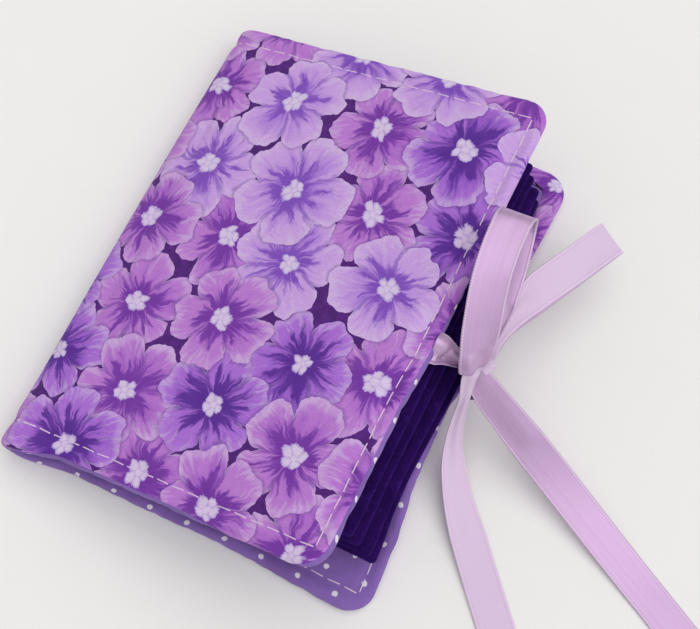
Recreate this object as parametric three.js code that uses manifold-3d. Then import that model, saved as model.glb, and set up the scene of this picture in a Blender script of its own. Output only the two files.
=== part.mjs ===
// A cloth needle book: one padded, lined strip folded round a narrow spine, with felt leaves sewn
// into the fold and a ribbon on each fore-edge, tied in a bow. Millimetres, +Z up. The back cover
// lies flat with its outer face on Z = 0, the spine runs along Y and the fore-edges face +X.
import * as THREE from 'three';
import { mergeVertices } from 'three/addons/utils/BufferGeometryUtils.js';
import Module from 'manifold-3d';

const wasm = await Module();
wasm.setup();

// The folded strip, measured flat from fold line to fold line or edge.
const COVER_HEIGHT = 110;
const BACK_WIDTH = 84.7;
const FRONT_WIDTH = 80.5;
const SPINE_WIDTH = 8.8;
const CORNER_RADIUS = 6;
const OPENING_DEGREES = 17.5;
const FOLD_EASE_DEGREES = 4;
const BACK_EDGE_X = 43;

// The strip's layers, from the outer face inwards.
const CLOTH_THICKNESS = 0.6;
const WADDING_THICKNESS = 1.2;
const LINING_THICKNESS = 0.6;
const LAYER_GAP = 0.2;
const EDGE_ROLL = 0.9;
const LINING_INSET = 1.2;
const LINING_ROLL = 0.25;
const SEAM_ALLOWANCE = 6;
const WADDING_CLEARANCE = 0.3;
const FOLD_GAP = 0.2;

// Sewing: a line round the edge of each cover, and one that holds the leaves along the spine.
const STITCH_INSET = 4.5;
const THREAD_WIDTH = 0.5;
const THREAD_THICKNESS = 0.3;
const THREAD_CLEARANCE = 0.2;
const THREAD_RECESS = 0.05;

// Felt leaves: two sheets, one inside the other, each folded a little off its middle.
const LEAF_END_INSET = 10;
const LEAF_THICKNESS = 0.75;
const LEAF_CORNER_RADIUS = 1.5;
const LEAF_PITCH = 0.98;
const LEAF_ROOT_GAP = 0.45;
const BACK_LEAF_INSET = 5.3;
const FRONT_LEAF_INSET = 3.9;
const INNER_SHEET_SHIFT = 0.6;
const LEAF_COUNT = 4;

// Ribbon ties, and where the bow's knot hangs from the middle of the front fore-edge.
const RIBBON_WIDTH = 8;
const RIBBON_THICKNESS = 0.4;
const RIBBON_STEPS_PER_SPAN = 4;
const TIE_GAP = 0.4;
const KNOT_REACH = 7.4;
const KNOT_SIDE = -4;
const KNOT_DROP = 4;
const UPPER_KNOT_SIZE = new THREE.Vector3(4.4, 4, 3.2);
const UPPER_KNOT_OFFSET = new THREE.Vector3(0.7, 1.8, -1);
const LOWER_KNOT_SIZE = new THREE.Vector3(4.2, 4, 2.8);
const LOWER_KNOT_OFFSET = new THREE.Vector3(2.2, 3.4, -4.7);

// Values that follow from the sizes above.
const COVER_THICKNESS = CLOTH_THICKNESS + WADDING_THICKNESS + LINING_THICKNESS + 2 * LAYER_GAP;
const RIM_HEIGHT = CLOTH_THICKNESS + LAYER_GAP + WADDING_THICKNESS;
const OPENING = THREE.MathUtils.degToRad(OPENING_DEGREES);
const FOLD = (Math.PI - OPENING) / 2;
const MITRE = (FOLD + THREE.MathUtils.degToRad(FOLD_EASE_DEGREES)) / 2;
const GROOVE_DEPTH = THREAD_RECESS + THREAD_THICKNESS + THREAD_CLEARANCE;
const LEAF_HEIGHT = COVER_HEIGHT - 2 * LEAF_END_INSET;
const BACK_LEAF_WIDTH = BACK_WIDTH - BACK_LEAF_INSET;
const FRONT_LEAF_WIDTH = FRONT_WIDTH - FRONT_LEAF_INSET;
const OVERRUN = 10;
const MERGE_TOLERANCE = 1e-5;
const ROLL_SEGMENTS = 3;
const CORNER_SEGMENTS = 8;
const KNOT_SEGMENTS = 16;

const COLOURS = {
  print: 0x9c6bcb,
  lining: 0x6a4a98,
  wadding: 0xf1eee8,
  felt: 0x2a1058,
  thread: 0xf2e3f2,
  ribbon: 0xcfb2da,
};

function material(colour, roughness) {
  return new THREE.MeshStandardMaterial({ color: colour, roughness, metalness: 0 });
}

function toSolid(geometry) {
  const bare = geometry.clone();
  bare.deleteAttribute('normal');
  bare.deleteAttribute('uv');
  const merged = mergeVertices(bare, MERGE_TOLERANCE);
  return new wasm.Manifold(new wasm.Mesh({
    numProp: 3,
    vertProperties: new Float32Array(merged.attributes.position.array),
    triVerts: new Uint32Array(merged.index.array),
  }));
}

function toGeometry(solid) {
  const mesh = solid.getMesh();
  const geometry = new THREE.BufferGeometry();
  geometry.setAttribute('position', new THREE.BufferAttribute(mesh.vertProperties, 3));
  geometry.setIndex(new THREE.BufferAttribute(mesh.triVerts, 1));
  geometry.computeVertexNormals();
  return geometry;
}

// A flat piece from a plan outline, between two heights, with its edges rounded over.
function slab(outline, bottom, top, roll = 0) {
  const geometry = new THREE.ExtrudeGeometry(outline, {
    depth: top - bottom - 2 * roll,
    bevelEnabled: roll > 0,
    bevelThickness: roll,
    bevelSize: roll,
    bevelOffset: -roll,
    bevelSegments: ROLL_SEGMENTS,
    curveSegments: CORNER_SEGMENTS,
  });
  geometry.translate(0, 0, bottom + roll);
  return toSolid(geometry);
}

// Plan outline of a cover: it runs past the fold line at X = 0 and has round fore-edge corners.
function coverOutline(width, inset) {
  const half = COVER_HEIGHT / 2 - inset;
  const end = width - inset;
  const radius = Math.max(CORNER_RADIUS - inset, EDGE_ROLL);
  const outline = new THREE.Shape();
  outline.moveTo(-OVERRUN - inset, -half);
  outline.lineTo(end - radius, -half);
  outline.absarc(end - radius, radius - half, radius, -Math.PI / 2, 0, false);
  outline.lineTo(end, half - radius);
  outline.absarc(end - radius, half - radius, radius, 0, Math.PI / 2, false);
  outline.lineTo(-OVERRUN - inset, half);
  return outline;
}

// Plan outline of the spine: it runs past both fold lines, at X = -SPINE_WIDTH and X = 0.
function spineOutline(inset) {
  const half = COVER_HEIGHT / 2 - inset;
  const outline = new THREE.Shape();
  outline.moveTo(-SPINE_WIDTH - OVERRUN - inset, -half);
  outline.lineTo(OVERRUN + inset, -half);
  outline.lineTo(OVERRUN + inset, half);
  outline.lineTo(-SPINE_WIDTH - OVERRUN - inset, half);
  return outline;
}

// The wedge beyond a mitred fold line: the layers are cut back towards the inside of the fold.
function mitreWedge(foldLine, side) {
  const reach = FOLD_GAP - OVERRUN * Math.tan(MITRE);
  const far = FOLD_GAP + OVERRUN * Math.tan(MITRE);
  const back = -3 * OVERRUN;
  const section = new THREE.Shape();
  section.moveTo(foldLine + side * back, -OVERRUN);
  section.lineTo(foldLine + side * reach, -OVERRUN);
  section.lineTo(foldLine + side * far, OVERRUN);
  section.lineTo(foldLine + side * back, OVERRUN);
  const length = COVER_HEIGHT + 2 * OVERRUN;
  const geometry = new THREE.ExtrudeGeometry(section, { depth: length, bevelEnabled: false });
  geometry.rotateX(Math.PI / 2);
  geometry.translate(0, length / 2, 0);
  return toSolid(geometry);
}

// A line of thread round the edge of an outline, or the groove that it lies in.
function stitchLine(outlineAt, width, bottom, top) {
  const outside = slab(outlineAt(STITCH_INSET - width / 2), bottom, top);
  const inside = slab(outlineAt(STITCH_INSET + width / 2), bottom - OVERRUN, top + OVERRUN);
  return outside.subtract(inside);
}

// The three layers of one stretch of the strip and the thread in its edge.
function stripLayers(outlineAt, wedges) {
  const trim = (solid) => wedges.reduce((rest, wedge) => rest.subtract(wedge), solid);
  const pocket = slab(outlineAt(SEAM_ALLOWANCE), CLOTH_THICKNESS, RIM_HEIGHT + OVERRUN);
  const groove = stitchLine(outlineAt, THREAD_WIDTH + 2 * THREAD_CLEARANCE, -OVERRUN, GROOVE_DEPTH);
  const cloth = slab(outlineAt(0), 0, RIM_HEIGHT, EDGE_ROLL).subtract(pocket).subtract(groove);
  const wadding = slab(
    outlineAt(SEAM_ALLOWANCE + WADDING_CLEARANCE),
    CLOTH_THICKNESS + LAYER_GAP,
    RIM_HEIGHT,
  );
  const lining = slab(
    outlineAt(LINING_INSET),
    RIM_HEIGHT + LAYER_GAP,
    COVER_THICKNESS,
    LINING_ROLL,
  );
  const thread = stitchLine(outlineAt, THREAD_WIDTH, THREAD_RECESS, THREAD_RECESS + THREAD_THICKNESS);
  return {
    cloth: trim(cloth),
    wadding: trim(wadding),
    lining: trim(lining),
    thread: trim(thread),
  };
}

function piece(name, geometry, colour, roughness) {
  const mesh = new THREE.Mesh(geometry, material(colour, roughness));
  mesh.name = name;
  return mesh;
}

function coverPanel(label, width) {
  const layers = stripLayers((inset) => coverOutline(width, inset), [mitreWedge(0, 1)]);
  const panel = new THREE.Group();
  panel.add(piece(`${label}_cover_cloth`, toGeometry(layers.cloth), COLOURS.print, 0.9));
  panel.add(piece(`${label}_cover_wadding`, toGeometry(layers.wadding), COLOURS.wadding, 1));
  panel.add(piece(`${label}_cover_lining`, toGeometry(layers.lining), COLOURS.lining, 0.9));
  panel.add(piece(`${label}_topstitching`, toGeometry(layers.thread), COLOURS.thread, 0.6));
  return panel;
}

// The leaves' seam: a thread along the middle of the spine, in a groove on its outer face.
function leafSeam(width, bottom, top) {
  const half = LEAF_HEIGHT / 2;
  const middle = -SPINE_WIDTH / 2;
  const outline = new THREE.Shape();
  outline.moveTo(middle - width / 2, -half);
  outline.lineTo(middle + width / 2, -half);
  outline.lineTo(middle + width / 2, half);
  outline.lineTo(middle - width / 2, half);
  return slab(outline, bottom, top);
}

function spinePanel() {
  const wedges = [mitreWedge(0, -1), mitreWedge(-SPINE_WIDTH, 1)];
  const layers = stripLayers(spineOutline, wedges);
  const groove = leafSeam(THREAD_WIDTH + 2 * THREAD_CLEARANCE, -OVERRUN, GROOVE_DEPTH);
  const seam = leafSeam(THREAD_WIDTH, THREAD_RECESS, THREAD_RECESS + THREAD_THICKNESS);
  const panel = new THREE.Group();
  panel.add(piece('spine_cloth', toGeometry(layers.cloth.subtract(groove)), COLOURS.print, 0.9));
  panel.add(piece('spine_wadding', toGeometry(layers.wadding), COLOURS.wadding, 1));
  panel.add(piece('spine_lining', toGeometry(layers.lining), COLOURS.lining, 0.9));
  panel.add(piece('leaf_seam', toGeometry(seam), COLOURS.thread, 0.6));
  layers.thread.decompose().forEach((thread, i) => {
    panel.add(piece(`spine_topstitching_${i + 1}`, toGeometry(thread), COLOURS.thread, 0.6));
  });
  return panel;
}

// One felt leaf, lying along +X from its sewn edge.
function leafGeometry(width) {
  const half = LEAF_HEIGHT / 2;
  const radius = LEAF_CORNER_RADIUS;
  const outline = new THREE.Shape();
  outline.moveTo(0, -half);
  outline.lineTo(width - radius, -half);
  outline.absarc(width - radius, radius - half, radius, -Math.PI / 2, 0, false);
  outline.lineTo(width, half - radius);
  outline.absarc(width - radius, half - radius, radius, 0, Math.PI / 2, false);
  outline.lineTo(0, half);
  const geometry = new THREE.ExtrudeGeometry(outline, {
    depth: LEAF_THICKNESS,
    bevelEnabled: false,
    curveSegments: CORNER_SEGMENTS,
  });
  geometry.translate(0, 0, -LEAF_THICKNESS / 2);
  return geometry;
}

// Leaves fan out evenly between the covers, from roots spread along the inside of the spine.
function addLeaves(spine) {
  const widths = [
    BACK_LEAF_WIDTH,
    BACK_LEAF_WIDTH - INNER_SHEET_SHIFT,
    FRONT_LEAF_WIDTH + INNER_SHEET_SHIFT,
    FRONT_LEAF_WIDTH,
  ];
  for (let i = 0; i < LEAF_COUNT; i += 1) {
    const leaf = piece(`felt_leaf_${i + 1}`, leafGeometry(widths[i]), COLOURS.felt, 1);
    const lift = OPENING * (i + 1) / (LEAF_COUNT + 1);
    const offset = ((LEAF_COUNT - 1) / 2 - i) * LEAF_PITCH;
    leaf.position.set(-SPINE_WIDTH / 2 + offset, 0, COVER_THICKNESS + LEAF_ROOT_GAP);
    leaf.rotation.y = -lift - FOLD;
    spine.add(leaf);
  }
}

// A flat ribbon along a route of points, each with the vector across the ribbon at that point.
function ribbonGeometry(route) {
  const centres = new THREE.CatmullRomCurve3(route.map(([at]) => at));
  const spans = new THREE.CatmullRomCurve3(route.map(([, across]) => across));
  const steps = (route.length - 1) * RIBBON_STEPS_PER_SPAN;
  const positions = [];
  const indices = [];
  for (let i = 0; i <= steps; i += 1) {
    const t = i / steps;
    const centre = centres.getPoint(t);
    const half = spans.getPoint(t).multiplyScalar(0.5);
    const tangent = centres.getTangent(t);
    const up = tangent.clone().cross(half).setLength(RIBBON_THICKNESS / 2);
    const corners = [
      centre.clone().add(half).sub(up),
      centre.clone().add(half).add(up),
      centre.clone().sub(half).add(up),
      centre.clone().sub(half).sub(up),
    ];
    corners.forEach((corner) => positions.push(...corner.toArray()));
  }
  for (let i = 0; i < steps; i += 1) {
    for (let k = 0; k < 4; k += 1) {
      const a = 4 * i + k;
      const b = 4 * i + (k + 1) % 4;
      indices.push(a, b, b + 4, a, b + 4, a + 4);
    }
  }
  const last = 4 * steps;
  indices.push(0, 2, 1, 0, 3, 2);
  indices.push(last, last + 1, last + 2, last, last + 2, last + 3);
  const geometry = new THREE.BufferGeometry();
  geometry.setAttribute('position', new THREE.Float32BufferAttribute(positions, 3));
  geometry.setIndex(indices);
  geometry.computeVertexNormals();
  return geometry;
}

function knotGeometry(centre, size) {
  const geometry = new THREE.SphereGeometry(0.5, KNOT_SEGMENTS, KNOT_SEGMENTS / 2);
  geometry.scale(size.x, size.y, size.z);
  geometry.translate(centre.x, centre.y, centre.z);
  return geometry;
}

// The bow: the front ribbon's pieces lie above the back ribbon's, so the knot draws apart.
function addTies(book, frontEdge, backEdge) {
  const bow = frontEdge.clone().add(new THREE.Vector3(KNOT_REACH, KNOT_SIDE, -KNOT_DROP));
  const upperKnot = bow.clone().add(UPPER_KNOT_OFFSET);
  const lowerKnot = bow.clone().add(LOWER_KNOT_OFFSET);
  // A route point is placed from the bow's middle, or in plan from it at a height over the table.
  const rise = (dx, dy, dz) => bow.clone().add(new THREE.Vector3(dx, dy, dz));
  const at = (dx, dy, height) => new THREE.Vector3(bow.x + dx, bow.y + dy, height);
  const across = (x, y, z) => new THREE.Vector3(x, y, z).setLength(RIBBON_WIDTH);
  const gathered = (x, y, z) => new THREE.Vector3(x, y, z);
  const floorHeight = RIBBON_THICKNESS / 2 + TIE_GAP / 4;
  const tie = (name, route) => book.add(piece(name, ribbonGeometry(route), COLOURS.ribbon, 0.35));

  tie('front_tie_strand', [
    [frontEdge.clone().add(new THREE.Vector3(TIE_GAP, KNOT_SIDE, 0)), gathered(0, 6.8, 0)],
    [rise(-4.6, 0.2, 3.4), gathered(0, 5.2, 0.6)],
    [rise(-1.7, 0.8, 0), gathered(0, 3, 0.8)],
  ]);
  book.add(piece('front_tie_knot', knotGeometry(upperKnot, UPPER_KNOT_SIZE), COLOURS.ribbon, 0.4));
  tie('front_tie_loop', [
    [rise(0.8, 0.7, 0.95), gathered(5.2, 6, 0)],
    [rise(0.3, 2.9, 4.2), across(5.9, 5.4, 0)],
    [rise(-0.8, 6.4, 7.2), across(6.9, 4.3, 0)],
    [rise(-2.9, 14.2, 11), across(7.3, 3.4, 0)],
    [rise(-3.7, 19, 12.5), across(7.6, 2.7, 0)],
    [rise(-4.1, 24.1, 13.3), across(7.8, 2, 0)],
    [rise(-4.1, 28.8, 13.2), across(7.9, 1.2, 0)],
    [rise(-3.7, 30.5, 11.8), across(8, 0.6, 0)],
    [rise(-3.3, 29.6, 9.8), across(8, 0.3, 0)],
    [rise(-1.8, 22.8, 8), across(7.9, 1, 0)],
    [rise(-0.5, 13.6, 6), across(7.9, 1.2, 0)],
    [rise(0.1, 7.6, 3.4), gathered(6.2, 1.8, 0)],
    [rise(0.5, 4.6, 1.6), gathered(4.4, 2, 0)],
  ]);
  tie('front_tie_tail', [
    [rise(0.8, -0.7, -1.4), gathered(3.2, 1.6, -0.6)],
    [rise(0.9, -1.6, -3.4), gathered(2.6, 2, -0.4)],
    [rise(1.4, -3.7, -8), gathered(2.1, 1.5, 0)],
    [rise(1.6, -5.6, -13), gathered(2.4, 1.2, 0)],
    [at(2.6, -9.8, 9.5), gathered(3.3, 1.7, -0.8)],
    [at(4.6, -13.9, 6), gathered(4.4, 3.1, -2)],
    [at(8.4, -19.4, 3.2), gathered(5.3, 4.1, -2.6)],
    [at(13.6, -25.5, 1.6), across(5.7, 4.7, -1.2)],
    [at(19.4, -32, 0.7), across(5.8, 5.3, -0.3)],
    [at(26.6, -40, floorHeight), across(5.9, 5.4, 0)],
    [at(37.4, -52, floorHeight), across(5.9, 5.4, 0)],
  ]);

  tie('back_tie_strand', [
    [backEdge.clone().add(new THREE.Vector3(TIE_GAP, lowerKnot.y + 1, 0)), gathered(0, 7.6, 0)],
    [at(3.6, 4, 6), gathered(0, 7, 0)],
    [at(3.4, 3.6, 13), gathered(0, 5.6, 0)],
    [lowerKnot.clone().add(new THREE.Vector3(0, 0, -LOWER_KNOT_SIZE.z / 2 - TIE_GAP)), gathered(0, 3.4, 0)],
  ]);
  book.add(piece('back_tie_knot', knotGeometry(lowerKnot, LOWER_KNOT_SIZE), COLOURS.ribbon, 0.4));
  tie('back_tie_loop', [
    [rise(2, 5.9, -4.3), gathered(2.6, -0.8, -2)],
    [rise(1.7, 10, -5.6), gathered(2.8, -1.2, -4.2)],
    [rise(2.2, 15, -7.2), gathered(3.4, -2, -5.2)],
    [rise(3.4, 20, -9), gathered(4.4, -3, -5)],
    [rise(5.4, 25.6, -10.8), across(5.6, -3.9, -3.6)],
    [rise(9.9, 35.1, -12.7), across(6.3, -4.2, -2.4)],
    [rise(14.4, 44.4, -14), across(6.9, -3.8, -1.2)],
    [rise(15.2, 46, -14.9), across(6.9, -3.8, -1.2)],
    [rise(14.3, 44.6, -16), across(6.9, -3.8, -1.2)],
    [rise(9.7, 35.1, -15.6), across(6.3, -4.2, -2.4)],
    [rise(5.4, 25.6, -14), across(5.6, -3.9, -3.6)],
    [rise(3.8, 20, -12.4), gathered(4.4, -3, -5)],
    [rise(2.6, 15, -10.6), gathered(3.4, -2, -5.2)],
    [rise(2.2, 10, -8.6), gathered(2.8, -1.2, -4.2)],
    [rise(2.2, 6.6, -6.8), gathered(2.6, -0.8, -2)],
  ]);
  tie('back_tie_tail', [
    [rise(3.3, 1.1, -6.3), gathered(1.8, 3.4, 1.2)],
    [rise(4.8, -0.2, -8.2), gathered(2.5, 5.5, 2.4)],
    [rise(8.3, -1.2, -11.5), gathered(2.7, 5.8, 3)],
    [at(17.6, -4.2, 10), across(2.9, 6.3, 2.4)],
    [at(28.9, -8.8, 5), across(3.3, 7, 1.2)],
    [at(40.1, -14, 2), across(3.6, 7.2, 0.4)],
    [at(51.1, -19.4, 0.5), across(3.7, 7.1, 0)],
    [at(58.3, -23.1, floorHeight), across(3.7, 7.1, 0)],
    [at(73.4, -31, floorHeight), across(3.7, 7.1, 0)],
  ]);
}

// Assembly: the front turns on the spine's far fold line, and the spine on the back's.
const book = new THREE.Group();
const back = coverPanel('back', BACK_WIDTH);
back.position.x = BACK_EDGE_X - BACK_WIDTH;
book.add(back);

const spine = spinePanel();
spine.position.copy(back.position);
spine.rotation.y = FOLD;
book.add(spine);
addLeaves(spine);

const front = coverPanel('front', FRONT_WIDTH);
front.rotation.z = Math.PI;
const frontFold = new THREE.Group();
frontFold.position.x = -SPINE_WIDTH;
frontFold.rotation.y = FOLD;
frontFold.add(front);
spine.add(frontFold);

book.updateMatrixWorld(true);
const frontEdge = frontFold.localToWorld(new THREE.Vector3(-FRONT_WIDTH, 0, RIM_HEIGHT / 2));
const backEdge = new THREE.Vector3(BACK_EDGE_X, 0, RIM_HEIGHT / 2);
addTies(book, frontEdge, backEdge);

export default book;
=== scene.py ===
import math

import bpy
import numpy as np
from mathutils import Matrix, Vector


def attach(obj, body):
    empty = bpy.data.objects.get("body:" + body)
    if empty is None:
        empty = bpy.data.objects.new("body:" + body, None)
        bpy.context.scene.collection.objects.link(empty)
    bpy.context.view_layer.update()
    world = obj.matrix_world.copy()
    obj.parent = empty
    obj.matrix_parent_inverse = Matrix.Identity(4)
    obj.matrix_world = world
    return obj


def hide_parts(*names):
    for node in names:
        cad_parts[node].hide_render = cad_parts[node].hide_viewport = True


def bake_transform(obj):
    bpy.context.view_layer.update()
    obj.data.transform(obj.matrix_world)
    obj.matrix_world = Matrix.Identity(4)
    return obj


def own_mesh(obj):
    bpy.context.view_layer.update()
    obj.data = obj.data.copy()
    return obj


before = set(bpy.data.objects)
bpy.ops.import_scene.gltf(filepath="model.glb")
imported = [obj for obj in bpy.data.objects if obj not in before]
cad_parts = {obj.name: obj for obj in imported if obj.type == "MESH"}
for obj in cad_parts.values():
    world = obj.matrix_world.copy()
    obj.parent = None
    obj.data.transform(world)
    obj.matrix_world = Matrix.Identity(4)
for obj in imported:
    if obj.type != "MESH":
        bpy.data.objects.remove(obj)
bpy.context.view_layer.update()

bpy.ops.object.select_all(action="DESELECT")

# Printed outer cloth: one rectangle of quilting cotton over thin wadding, turned out at its edge,
# pressed and folded round the spine, with its two halves meeting in the leaf seam. Sizes are in
# millimetres on the flat strip: u out from mid-spine, y along the spine, h in from the outer face.
MM = 0.001
COVER_THICKNESS = 2.8
HALF_HEIGHT = 55
CORNER = 6
RIM = 8
FOLD_RADIUS = 5.13
FOLD_CENTRE = (-37.3, 5.13)
FOLD_HALF_TURN = math.radians(81.25)
MID_RADIUS = FOLD_RADIUS - COVER_THICKNESS / 2
FOLD_ARC = MID_RADIUS * FOLD_HALF_TURN
BACK_REACH = 80.3 + FOLD_ARC
FRONT_REACH = 76.1 + FOLD_ARC
EDGE_DEPTH = 1.5
EDGE_HALF = COVER_THICKNESS / 2
EDGE_ARC = (EDGE_DEPTH + EDGE_HALF) * math.pi / 4
RIM_ARC = EDGE_ARC + RIM - EDGE_DEPTH
STITCH_INSET = 4.5
FORE_INSET = 3.2
STITCH_PITCH = 3.9
CHANNEL_DEPTH = 0.5
CHANNEL_SPREAD = 1.0
UV_PER_MM = 0.01
EDGE_LIFT = 6.0
EDGE_DRAW = 1.7
BACK_DRAW = 1.1
FRONT_DRAW = 0.8
FOOT_BULGE = 1.9
HEAD_BULGE = 1.0
SPINE_BULGE = 1.7
SPINE_LEAN = 0.5
BACK_ASKEW = 0.6
FOOT_RISE = 0.7
SEAM_TUCK = 0.3
PUCKER = 0.22
TABLE_GAP = 0.02
PUFF_SCALE = 20
PUFF_STEPS = 20
PUFF_LIMIT = 0.7


def eased(t, start, end):
    """0 at start and 1 at end, eased between."""
    t = np.clip((t - start) / (end - start), 0, 1)
    return t * t * (3 - 2 * t)


def hump(t, middle, width):
    """1 in the middle, falling away on both sides."""
    return np.exp(-(((t - middle) / width) ** 2))


def fold_strip(front, flat):
    """Points (u, y, h) of the flat strip, folded round the spine into the half-open book."""
    u, y, h = flat.T
    turn = np.clip((FOLD_ARC - u) / MID_RADIUS, 0, None)
    reach = FOLD_RADIUS - h
    x = np.maximum(u - FOLD_ARC, 0) - reach * np.sin(turn)
    z = -reach * np.cos(turn)
    if front:
        middle = (-math.sin(FOLD_HALF_TURN), -math.cos(FOLD_HALF_TURN))
        along = x * middle[0] + z * middle[1]
        x, z = 2 * along * middle[0] - x, 2 * along * middle[1] - z
    return np.stack([x + FOLD_CENTRE[0], y, z + FOLD_CENTRE[1]], axis=1)


def edge_pull(points):
    """How far the bow draws up the middle of the back's fore-edge, from 0 to 1."""
    reach = eased(points[:, 0], 6, 44)
    span = np.clip(1 - ((points[:, 1] + 1) / HALF_HEIGHT) ** 2, 0, 1) ** 1.6
    return reach * span


def settle(front, points):
    """The folded covers as they lie when tied: spine, head and foot bulge, the back lies a little
    askew under the front, and the bow draws up the back's fore-edge."""
    points = points.copy()
    x, y = points[:, 0].copy(), points[:, 1].copy()
    points[:, 0] -= SPINE_LEAN * eased(y, -38, -54) * hump(x, -42, 5)
    points[:, 0] -= SPINE_BULGE * (1 - 0.5 * (y / HALF_HEIGHT) ** 2) * hump(x, -44, 3)
    points[:, 1] -= FOOT_BULGE * eased(x, -27, -40) * eased(y, -50, -54)
    points[:, 1] += HEAD_BULGE * eased(y, 10, 50)
    if front:
        points[:, 0] -= FRONT_DRAW * eased(x, -20, 30) * eased(y, -4, -20)
    else:
        askew = BACK_ASKEW * (1 - 0.5 * eased(x, 30, 0))
        points[:, 1] -= askew * eased(x, -42, -30) * eased(y, 25, -35)
        points[:, 1] += FOOT_RISE * hump(x, 10, 14) * eased(y, -40, -55)
        pull = edge_pull(points)
        points[:, 2] += EDGE_LIFT * pull
        points[:, 0] -= EDGE_DRAW * pull
        points[:, 0] -= BACK_DRAW * eased(x, 6, 44) * eased(y, -1.5, -7.5) * eased(y, -38, -24)
    return points


def edge_profile(s):
    """Depth in from the edge and height through it, s along the profile from mid-edge."""
    turn = np.clip(np.abs(s) / EDGE_ARC, 0, 1) * math.pi / 2
    depth = EDGE_DEPTH * (1 - np.cos(turn)) + np.maximum(np.abs(s) - EDGE_ARC, 0)
    return depth, EDGE_HALF + np.sign(s) * EDGE_HALF * np.sin(turn)


def outline(reach, u_lines, y_lines):
    """Points round the cover's outline, one across from each point where the rim starts."""

    def along_edge(lines, half):
        """How far along an edge and half-way round its corner, and how far in."""
        spread = lines + (RIM - CORNER + CORNER * math.pi / 4) * (lines / (half - RIM)) ** 4
        turn = np.maximum(spread - (half - CORNER), 0) / CORNER
        return np.minimum(spread, half - CORNER) + CORNER * np.sin(turn), CORNER * (1 - np.cos(turn))

    edge_u, inset = along_edge(u_lines, reach)
    foot = np.stack([edge_u, inset - HALF_HEIGHT], axis=1)
    head = np.stack([edge_u, HALF_HEIGHT - inset], axis=1)
    fore_y, inset = along_edge(np.abs(y_lines), HALF_HEIGHT)
    fore = np.stack([reach - inset, np.sign(y_lines) * fore_y], axis=1)
    return np.concatenate([foot, fore[1:], head[-2::-1]])


def grid_quads(rows, columns):
    """The faces between points that stand in rows and columns."""
    first = np.arange(rows - 1)[:, None] * columns + np.arange(columns - 1)
    return np.stack([first, first + columns, first + columns + 1, first + 1], axis=-1).reshape(-1, 4)


def grid_rim(rows, columns):
    """The points round three sides of such a grid: first column, last row and last column."""
    rim = [i * columns for i in range(rows)]
    rim += [(rows - 1) * columns + j for j in range(1, columns)]
    return rim + [i * columns + columns - 1 for i in range(rows - 2, -1, -1)]


def cover_face(reach, seam_at, side):
    """One cloth of half the strip, flat: its points, its cloth places, its depths and its faces.
    Side is -1 for the outer cloth and 1 for the lining, and both end in the same seam."""
    fold_lines = np.arange(0, 7.9, 0.65)
    u_lines = np.concatenate([fold_lines, np.linspace(8, reach - RIM, round(reach / 1.35))])
    y_lines = np.linspace(RIM - HALF_HEIGHT, HALF_HEIGHT - RIM, 73)
    nu, ny = len(u_lines), len(y_lines)
    grid = np.stack(np.meshgrid(u_lines, y_lines, indexing="ij"), axis=-1).reshape(-1, 2)
    rim = grid_rim(nu, ny)
    count = len(rim)
    inner, outer = grid[rim], outline(reach, u_lines, y_lines)
    seam = seam_at(outer[:, 0], outer[:, 1])
    face_height = COVER_THICKNESS if side > 0 else 0
    points = [np.column_stack([grid, np.full(nu * ny, face_height)])]
    places = [grid]
    depths = [np.minimum(reach - grid[:, 0], HALF_HEIGHT - np.abs(grid[:, 1]))]
    seam_gaps = [np.full(nu * ny, RIM)]
    rings = 15
    for ring in range(1, rings + 1):
        share = 1 - (1 - ring / rings) ** 1.6
        travel = share * (RIM_ARC - side * seam)
        s = side * (RIM_ARC - travel)
        depth, height = edge_profile(s)
        gap = RIM_ARC - side * seam - travel
        tuck = SEAM_TUCK * hump(gap, 0, 0.5)
        depth = depth + tuck * np.clip((EDGE_DEPTH - depth) / EDGE_DEPTH, 0, 1)
        height = height + np.clip(EDGE_HALF - height, -1, 1) * tuck / EDGE_HALF
        flat = outer + (inner - outer) * (depth / RIM)[:, None]
        points.append(np.column_stack([flat, height]))
        places.append(inner + (outer - inner) * (travel / RIM)[:, None])
        depths.append(depth)
        seam_gaps.append(gap)
    quads = grid_quads(nu, ny).tolist()
    for ring in range(rings):
        here = nu * ny + ring * count
        for c in range(count - 1):
            a, b = (rim[c], rim[c + 1]) if ring == 0 else (here - count + c, here - count + c + 1)
            quads.append((a, here + c, here + c + 1, b))
    return {
        "points": np.concatenate(points),
        "places": np.concatenate(places),
        "depths": np.concatenate(depths),
        "gaps": np.concatenate(seam_gaps),
        "quads": np.array(quads),
        "seam": nu * ny + (rings - 1) * count + np.arange(count),
    }


def stitch_gap(reach, points):
    """How far points of the flat strip lie in from the line of topstitches."""
    fore = reach - FORE_INSET - points[:, 0]
    return np.minimum(fore, HALF_HEIGHT - STITCH_INSET - np.abs(points[:, 1]))


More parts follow.
